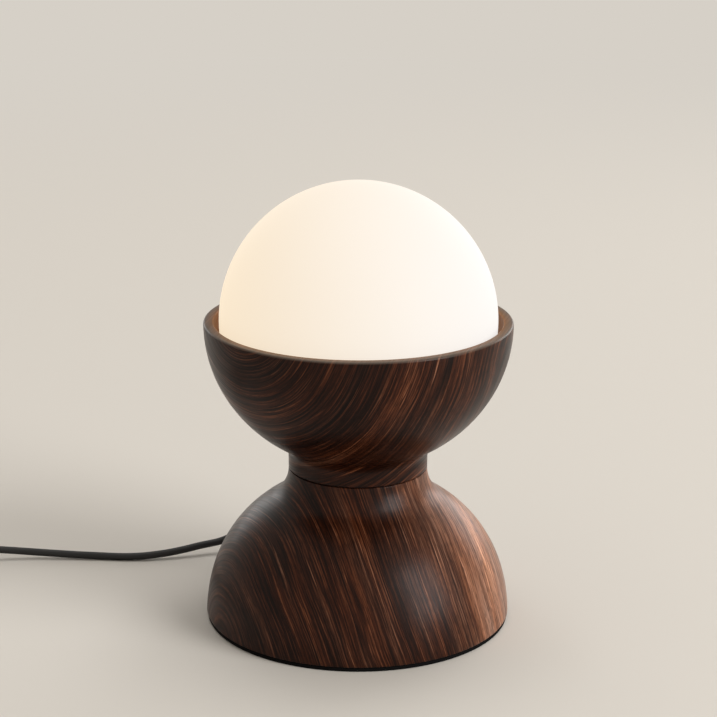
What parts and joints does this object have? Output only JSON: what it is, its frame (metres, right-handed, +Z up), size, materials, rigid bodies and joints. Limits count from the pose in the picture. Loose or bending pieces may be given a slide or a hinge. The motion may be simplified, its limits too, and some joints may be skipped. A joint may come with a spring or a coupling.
{
  "type": "table lamp",
  "caption": "Hourglass table lamp: an opal glass globe in a turned dark timber bowl on a turned timber dome, with a corded inline switch.",
  "frame": {"origin": "on the table top, under the lamp's turning axis, at the underside of the pad", "axes": "+Z up along the turning axis, -Y towards the viewer of the picture, +X to the viewer's right"},
  "size_m": [0.5336, 0.2055, 0.2915],
  "materials": {
    "timber": "dark streaked hardwood, satin lacquer",
    "opal_glass": "opal white, satin, lit from inside",
    "foam": "matte",
    "weight": "painted, matte",
    "zinc": "zinc plated",
    "brass": "plain",
    "silicone": "matte",
    "white_plastic": "satin",
    "diffuser": "frosted",
    "black_plastic": "satin",
    "cord_jacket": "matte",
    "fibre": "matte"
  },
  "bodies": {
    "lamp_body": {"upper_bowl": "timber", "lower_dome": "timber", "neck_ring": "fibre", "base_pad": "foam", "base_weight": "weight", "weight_screw_1": "zinc", "weight_screw_2": "zinc", "weight_screw_3": "zinc", "weight_screw_4": "zinc", "threaded_nipple": "zinc", "nipple_washer": "zinc", "nipple_nut_lower": "brass", "gallery_pan": "zinc", "nipple_nut_upper": "brass", "globe_seat_ring": "silicone", "holder_cap": "white_plastic", "holder_shell": "white_plastic", "holder_insert": "white_plastic", "holder_thread_sleeve": "brass", "holder_centre_contact": "brass", "strain_relief": "black_plastic", "inner_lead": "cord_jacket", "lead_clamp": "white_plastic", "clamp_screw_1": "zinc", "clamp_screw_2": "zinc", "switch_lower_shell": "black_plastic", "switch_upper_shell": "black_plastic", "switch_contact_block": "white_plastic", "switch_screw_1": "zinc", "switch_screw_2": "zinc", "cord_to_switch": "cord_jacket", "cord_to_coil": "cord_jacket", "cord_coil": "cord_jacket", "coil_tie": "black_plastic", "cord_to_plug": "cord_jacket", "plug_body": "black_plastic", "plug_sleeve_1": "black_plastic", "plug_sleeve_2": "black_plastic", "plug_pin_1": "zinc", "plug_pin_2": "zinc"},
    "globe": {"globe": "opal_glass"},
    "bulb": {"bulb_tip": "zinc", "bulb_cap": "zinc", "bulb_base": "white_plastic", "bulb_diffuser": "diffuser"},
    "rocker": {"switch_rocker": "black_plastic"}
  },
  "joints": [
    {"name": "globe_lift", "type": "slide", "parent": "lamp_body", "child": "globe", "axis": [0, 0, 1], "range_m": [0, 0.13]},
    {"name": "bulb_unscrew", "type": "slide", "parent": "lamp_body", "child": "bulb", "axis": [0, 0, 1], "range_m": [0, 0.03]},
    {"name": "rocker_tilt", "type": "hinge", "parent": "lamp_body", "child": "rocker", "pos_m": [-0.304, 0.086, 0.0134], "axis": [0, -1, 0], "range_deg": [0, 16]}
  ]
}
